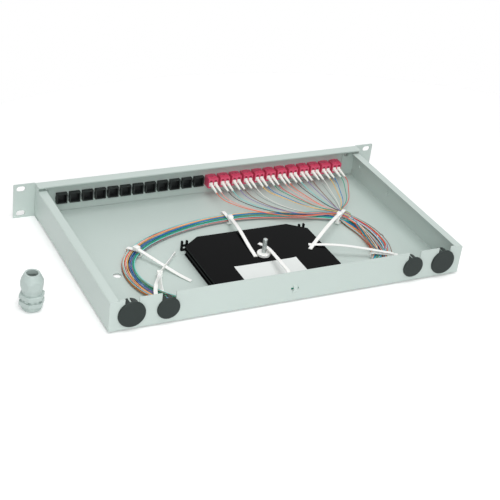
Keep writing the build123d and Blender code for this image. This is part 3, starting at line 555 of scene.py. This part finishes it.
def cable_tie(name, place, width_share, shift_share, top, tail, body_end=None, node="lid_ties",
              head_height=None, loop_shift=0.0):
    """One tie at a station place, with its loop, its head and its tail.

    The loop is width_share bundle widths wide up to height top, and the head lies shift_share widths inwards.
    tail holds points from the head to the tip as x, y and height over the tray's underside. With a
    head_height the head stands upright beside the loop at that height, not flat on top of it. The loop's
    middle lies loop_shift millimetres inwards from the bundle's middle line. A tie given a body_end, an x and y,
    is left on no body, and its place is baked into its mesh.
    """
    middle, way = bundle_at(place)
    head_at = middle + inward(way) * shift_share * BUNDLE_WIDTH
    strap_top = top + TIE_CLEARANCE + TIE_SHEET
    head_mid = lift(head_height or strap_top + TIE_HEAD[2] / 2)
    head_size = TIE_HEAD[::-1] if head_height else TIE_HEAD
    aim = tail[-1] if head_height else tail[0]
    run = np.array(aim[:2]) - head_at[:2]
    heading = math.degrees(math.atan2(run[1], run[0]))
    head_middle = head_at + np.array([0, 0, head_mid])
    points = [head_middle] + [np.array([x, y, lift(height)]) for x, y, height in tail]
    patches = [
        (tie_loop(middle + inward(way) * loop_shift, way, width_share * BUNDLE_WIDTH, top), True),
        (rounded_box(head_middle, head_size, heading), False),
        (sweep(smooth_path(points, 90), STRAP), False),
    ]
    made = make_piece(name, patches, nylon, body=None if body_end else "root", instead=[node])
    if body_end:
        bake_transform(made)
    return made


cable_tie("tie_left", 13.5, 1.22, 0.19, BUNDLE_TOP,
          [(128.0, 131.0, 9.5), (115.5, 152.0, 5.8), (104.5, 171.0, 3.0), (95.5, 186.0, 2.1)], node="bundle_ties")
cable_tie("tie_front", 16.5, 1.50, 0.70, BUNDLE_TOP,
          [(2.6, 97.0, 13.4), (5.8, 114.0, 16.4), (8.6, 135.0, 16.2), (10.8, 155.0, 14.8),
           (12.4, 175.5, 14.1)],
          body_end=(6.5, 121.0))
cable_tie("tie_neck", 20.5, 1.80, 0.54, BUNDLE_TOP + NECK_HEIGHT,
          [(-118.0, 126.0, 17.6), (-98.0, 142.5, 18.0), (-78.0, 158.5, 15.6), (-57.0, 177.0, 14.1)],
          body_end=(-76.0, 160.0))
cable_tie("tie_right", 3.5, 1.81, -1.064, BUNDLE_TOP,
          [(-155.4, 207.7, 8.8), (-151.5, 205.7, 10.5), (-142.0, 200.8, 10.9), (-128.0, 193.0, 12.0),
           (-94.0, 181.0, 16.4), (-60.0, 167.5, 14.1)],
          body_end=(-80.0, 176.0), head_height=5.6, loop_shift=1.6)
cable_tie("tie_rear", 7.5, 1.15, 0.21, BUNDLE_TOP,
          [(3.6, 235.9, 16.0), (3.1, 235.5, 24.0), (2.5, 234.5, 28.4), (1.3, 225.0, 27.4),
           (-0.2, 212.0, 25.7), (-1.7, 198.9, 24.0), (-3.4, 185.0, 22.2), (-4.3, 173.0, 20.9),
           (-1.6, 163.5, 20.3), (1.2, 158.8, 20.0)],
          body_end=(-1.0, 205.0))


# The slack tie: its station place, the heading of its loop and how much further its tail turns, in degrees,
# and how far its head lies from the bundle's middle
SLACK_PLACE = 10.5
SLACK_HEADING = 71.0
SLACK_TAIL_TURN = 158.0
SLACK_REACH = 41.0
# Points of its loop as run from the head, sway aside and height, and of its tail as run and height
SLACK_LOOP = [(0, 0, 4.4), (9, -0.6, 2.1), (30, -1.4, 2.1), (50, -1.0, 2.1), (56, 1.0, 3.6), (57, 3.6, 7.6),
              (53, 6.4, 10.1), (38, 7.4, 10.3), (18, 4.2, 9.8), (0, 0, 7.0)]
SLACK_TAIL = [(0, 8.2), (18, 6.9), (36, 5.0), (54, 3.9)]
SLACK_HEAD_HEIGHT = 5.7
# The loop's strap stands most on edge at this run, by this many degrees
SLACK_EDGE_RUN = 15
SLACK_EDGE_TURN = 68


def level_way(degrees):
    """The level direction at a heading."""
    turn = math.radians(degrees)
    return np.array([math.cos(turn), math.sin(turn), 0.0])


def slack_tie():
    """Tie in a long slack loop over and under the bundle.

    Its upper leg swings aside, and its head lies inside the ring. The strap's turn on edge falls off on both
    sides of SLACK_EDGE_RUN as the square root of the distance left, and is nothing under the bundle.
    """
    middle, _ = bundle_at(SLACK_PLACE)
    aim = level_way(SLACK_HEADING)
    aside = inward(aim)
    start = middle - aim * SLACK_REACH
    points = [start + aim * run + aside * sway + np.array([0, 0, lift(height)])
              for run, sway, height in SLACK_LOOP]
    back = level_way(SLACK_HEADING + SLACK_TAIL_TURN)
    tail = [start + back * run + np.array([0, 0, lift(height)]) for run, height in SLACK_TAIL]
    path = smooth_path(points, 140)
    away = np.abs((path - start) @ aim)
    share = np.clip(1 - np.abs(away - SLACK_EDGE_RUN) / SLACK_EDGE_RUN, 0, 1) ** 0.5
    turned = np.radians(SLACK_EDGE_TURN) * share
    spin = np.stack([np.cos(turned), np.sin(turned), -np.sin(turned), np.cos(turned)], axis=1).reshape(-1, 2, 2)
    head_middle = start - aim * TIE_HEAD[2] / 2 + np.array([0, 0, lift(SLACK_HEAD_HEIGHT)])
    patches = [
        (sweep(path, np.einsum("ki,nij->nkj", STRAP, spin)), False),
        (rounded_box(head_middle, TIE_HEAD[::-1], SLACK_HEADING), False),
        (sweep(smooth_path(tail, 60), STRAP[:, ::-1]), False),
    ]
    return make_piece("tie_slack", patches, nylon, instead=["bundle_ties"])


slack_tie()


# Connectors
# Sections along the plug and along the boot, and how square they are
PLUG_ROWS = 8
PLUG_POWER = 0.18
BOOT_ROWS = 90
# The grooves between the boot's rings: their number and depth, and the shares of the boot where they start and run
GROOVES = 10
GROOVE_DEPTH = 0.22
GROOVES_FROM = 0.08
GROOVES_RUN = 0.82
COLLAR_GAP = 0.05


def connector(x):
    """One plug and boot as a single skin along the boot's drooping line.

    The section's half size and its squareness change along the line: a square plug, a round collar,
    then ten rings that rise and fall as a cosine on a taper down to the tip.
    """
    plug_from, plug_to, plug_size = CONNECTOR
    length, drop, root, tip = BOOT
    plug_line = np.linspace(plug_from, plug_to, PLUG_ROWS)
    reach = np.linspace(0, 1, BOOT_ROWS)
    ringed = (reach > GROOVES_FROM) & (reach < GROOVES_FROM + GROOVES_RUN)
    wave = 0.5 - 0.5 * np.cos(2 * np.pi * GROOVES * (reach - GROOVES_FROM) / GROOVES_RUN)
    grooves = np.where(ringed, GROOVE_DEPTH * wave, 0)
    boot_line = np.stack([np.full(BOOT_ROWS, x), plug_to + length * reach, BORE_Z - drop * reach], axis=1)
    path = np.vstack([
        np.stack([np.full(PLUG_ROWS, x), plug_line, np.full(PLUG_ROWS, BORE_Z)], axis=1),
        boot_line + np.array([0, COLLAR_GAP, 0]),
    ])
    half = np.concatenate([np.full(PLUG_ROWS, plug_size / 2), (root + (tip - root) * reach) / 2 - grooves])[:, None]
    power = np.concatenate([np.full(PLUG_ROWS, PLUG_POWER), np.full(BOOT_ROWS, 1.0)])[:, None]
    return sweep(path, oval(24, half, half, power), side=(1, 0, 0))


make_piece("pigtail_plugs", [(connector(x), False) for x in TWIN_XS], boot_white,
           instead=["pigtail_connectors"])


# Adapters' fine pieces
# A latch slot's stop: half its width, half its thickness, half its height, its middle's height, its hollow's
# depth and how far it stands inside the adapter's rear face
STOP_HALF = (1.55, 0.4, 1.4)
STOP_MIDDLE = 1.75
STOP_HOLLOW = 0.35
STOP_Y = ADAPTER_REAR - 1.1
# A top pad's size, and its middle's place before the adapter's rear face and over its top
PAD_SIZE = (4.4, 3.6, 0.9)
PAD_Y = ADAPTER_REAR - 6.2
PAD_Z = ADAPTER_TOP + 0.15


def latch_stop(x):
    """Stop in one latch slot: an upright slab, its rear face hollow by the square of the distance from its middle."""
    half_width, half_sheet, half_height = STOP_HALF
    rows = np.linspace(-1, 1, 9)
    path = np.stack([np.full(9, x), np.full(9, STOP_Y), STOP_MIDDLE + half_height * rows], axis=1)
    grid = sweep(path, oval(24, half_width, half_sheet, 0.3), side=(1, 0, 0))
    hollow = STOP_HOLLOW * (1 - ((grid[..., 0] - x) / half_width) ** 2)
    grid[..., 1] -= np.where(grid[..., 1] > STOP_Y, hollow, 0)
    return grid


def top_pad(x):
    """Low pad on an adapter's top over one bore, with round edges."""
    return rounded_box((x, PAD_Y, PAD_Z), PAD_SIZE, 0.0, rows=8, columns=24)


# The stops' darker red is painted shade of the deep latch slots
make_piece("adapter_stops", [(latch_stop(x), False) for x in TWIN_XS], red_painted_shade)
make_piece("adapter_pads", [(top_pad(x), False) for x in TWIN_XS], magenta)


# Threads: place, radius of the bar, depth, pitch, low end and high end
STUD_THREAD = (STUD[0], STUD[1], STUD[2] / 2, 0.14, 0.8, lift(STUD[3]), lift(STUD[4]))
GLAND_THREAD = (GLAND[0], GLAND[1], GLAND[2] / 2, 0.45, 1.5, GROUND + 0.9, GROUND + 5.7)
# How far a thread's root lies inside the bar, and the rows to each pitch
THREAD_SINK = 0.02
THREAD_ROWS = 8


def thread(x, y, radius, depth, pitch, low, high):
    """Screw thread on an upright bar.

    Its radius swells by depth as a pointed wave of the height less the turn times the pitch.
    """
    turn = np.linspace(0, 2 * np.pi, 64, endpoint=False)
    level = np.arange(low, high, pitch / THREAD_ROWS)
    phase = (level[:, None] / pitch - turn[None, :] / (2 * np.pi)) % 1.0
    swell = radius - THREAD_SINK + depth * (1 - np.abs(2 * phase - 1))
    return np.stack([x + swell * np.cos(turn), y + swell * np.sin(turn),
                     np.broadcast_to(level[:, None], swell.shape)], axis=2)


make_piece("stud_thread", [(thread(*STUD_THREAD), False)], zinc)
make_piece("gland_thread", [(thread(*GLAND_THREAD), False)], polyamide)


# Label: its ends across, its middle along the tray, half its depth and half its sheet with the glue
LABEL_ENDS = (45.5, -32.9)
LABEL_Y = 205.0
LABEL_HALF = (17.0, 0.07)
# How high its front corners curl, and where the curl starts: from LABEL_CURL_OUT off its middle line over
# LABEL_CURL_RUN, and from LABEL_CURL_Y over LABEL_CURL_DEPTH towards the front
LABEL_CURL = 0.5
LABEL_MIDDLE = 6.3
LABEL_CURL_OUT = 30
LABEL_CURL_RUN = 9.2
LABEL_CURL_Y = 196
LABEL_CURL_DEPTH = 8


def label():
    """Bare label on the lid: a thin slab whose two front corners curl up by the square of their distance out."""
    level = lift(LID_TOP + 0.12)
    path = np.stack([np.linspace(*LABEL_ENDS, 60), np.full(60, LABEL_Y), np.full(60, level)], axis=1)
    grid = sweep(path, oval(60, *LABEL_HALF, 0.12))
    edge = np.clip((np.abs(grid[..., 0] - LABEL_MIDDLE) - LABEL_CURL_OUT) / LABEL_CURL_RUN, 0, 1) ** 2
    front = np.clip((LABEL_CURL_Y - grid[..., 1]) / LABEL_CURL_DEPTH, 0, 1) ** 2
    grid[..., 2] += LABEL_CURL * edge * front
    return grid


make_piece("lid_label", [(label(), False)], label_white, body="lid")

# Floor, backdrop and light, in metres
# The floor is round, and ends where it is still lit to about white, so that its rim hardly shows
FLOOR_MIDDLE = (-0.1, 0.5)
FLOOR_RADIUS = 0.85
FLOOR_CORNERS = 96
rim = np.linspace(0, 2 * np.pi, FLOOR_CORNERS, endpoint=False)
floor_rim = np.stack([FLOOR_MIDDLE[0] + FLOOR_RADIUS * np.cos(rim), FLOOR_MIDDLE[1] + FLOOR_RADIUS * np.sin(rim),
                      np.full(FLOOR_CORNERS, GROUND * 0.001)], axis=1)
floor_mesh = bpy.data.meshes.new("floor")
floor_mesh.from_pydata(floor_rim.tolist(), [], [list(range(FLOOR_CORNERS))])
floor = bpy.data.objects.new("floor", floor_mesh)
bpy.context.scene.collection.objects.link(floor)
floor_paper = finish("floor_paper", "FFFFFF", 0.9, spread=0.0, depth=0.0, tint=0.0)
floor_mesh.materials.append(floor_paper)


def seen_or_mirrored(tree):
    """1 for what the camera sees directly, mirrored or through a clear part, and 0 for light on the object."""
    ray = add(tree, "ShaderNodeLightPath")
    first = add(tree, "ShaderNodeMath", [(ray, "Is Camera Ray", 0), (ray, "Is Glossy Ray", 1)])
    first.operation = "MAXIMUM"
    both = add(tree, "ShaderNodeMath", [(first, 0, 0), (ray, "Is Transmission Ray", 1)])
    both.operation = "MAXIMUM"
    return both


# The floor shows a little brighter than it is lit, so that it reaches white and keeps a faint shadow
FLOOR_GAIN = 0.11
glow = add(floor_paper.node_tree, "ShaderNodeMath", [(seen_or_mirrored(floor_paper.node_tree), 0, 0)])
glow.operation = "MULTIPLY"
glow.inputs[1].default_value = FLOOR_GAIN
floor_shader = floor_paper.node_tree.nodes["Principled BSDF"]
floor_shader.inputs["Emission Color"].default_value = (1, 1, 1, 1)
floor_paper.node_tree.links.new(glow.outputs[0], floor_shader.inputs["Emission Strength"])

world = bpy.data.worlds.new("studio")
bpy.context.scene.world = world
world.use_nodes = True
background = world.node_tree.nodes["Background"]
background.inputs["Color"].default_value = (1, 1, 1, 1)
# Strength 1 is white in the background and in reflections, and WORLD_LIGHT lights the object
WORLD_LIGHT = 0.45
level = add(world.node_tree, "ShaderNodeMapRange", [(seen_or_mirrored(world.node_tree), 0, "Value")],
            To_Min=WORLD_LIGHT, To_Max=1.0)
world.node_tree.links.new(level.outputs["Result"], background.inputs["Strength"])


def area_light(name, place, aim, size, watts):
    """A square soft light at place, pointing at aim, in metres."""
    lamp = bpy.data.lights.new(name, "AREA")
    lamp.shape = "SQUARE"
    lamp.size = size
    lamp.energy = watts
    made = bpy.data.objects.new(name, lamp)
    bpy.context.scene.collection.objects.link(made)
    made.location = place
    made.rotation_euler = (Vector(aim) - Vector(place)).to_track_quat("-Z", "Y").to_euler()
    return made


# The key light hangs high over the floor's middle, and the fill light stands beside the camera
PANEL_MIDDLE = (0, 0.12, 0)
area_light("key_light", (*FLOOR_MIDDLE, 3.0), PANEL_MIDDLE, 1.9, 41)
area_light("fill_light", (0.5, 1.3, 0.85), PANEL_MIDDLE, 0.8, 7.5)

bpy.context.scene.view_settings.view_transform = "Standard"
bpy.context.view_layer.update()
